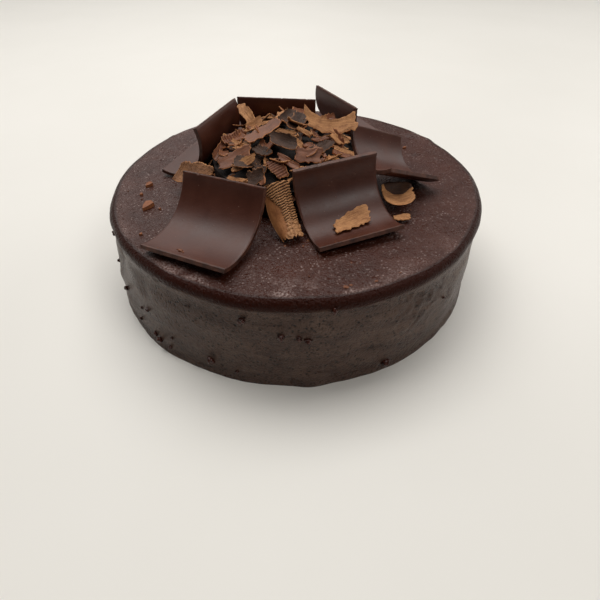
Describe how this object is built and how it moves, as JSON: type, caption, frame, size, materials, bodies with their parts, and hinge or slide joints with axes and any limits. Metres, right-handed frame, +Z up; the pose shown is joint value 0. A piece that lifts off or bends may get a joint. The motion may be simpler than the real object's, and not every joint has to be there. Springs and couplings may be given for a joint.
{
  "type": "chocolate cake",
  "caption": "Whole round chocolate cake under a dark glaze, with a ring of bent chocolate squares leaning on a heap of chocolate shavings.",
  "frame": {"origin": "middle of the flat underside of the cake", "axes": "+Z up through the top; -Y towards the side seen in the picture; +X to the right of that view"},
  "size_m": [0.1925, 0.1923, 0.0822],
  "materials": {
    "glaze": "smooth dark chocolate glaze, satin gloss",
    "dark_chocolate": "thin bent dark chocolate, soft sheen",
    "shaved_chocolate": "scraped milk and dark chocolate, dull"
  },
  "bodies": {
    "root": {"cake": "glaze", "panel_front_left": "dark_chocolate", "panel_front_right": "dark_chocolate", "panel_right": "dark_chocolate", "panel_back_right": "dark_chocolate", "panel_back": "dark_chocolate", "panel_back_left": "dark_chocolate", "shavings": "shaved_chocolate", "fan_flake": "shaved_chocolate", "scooped_flake": "shaved_chocolate", "low_flake": "shaved_chocolate", "flake_on_panel": "shaved_chocolate", "ribbed_curl": "shaved_chocolate"}
  },
  "joints": []
}
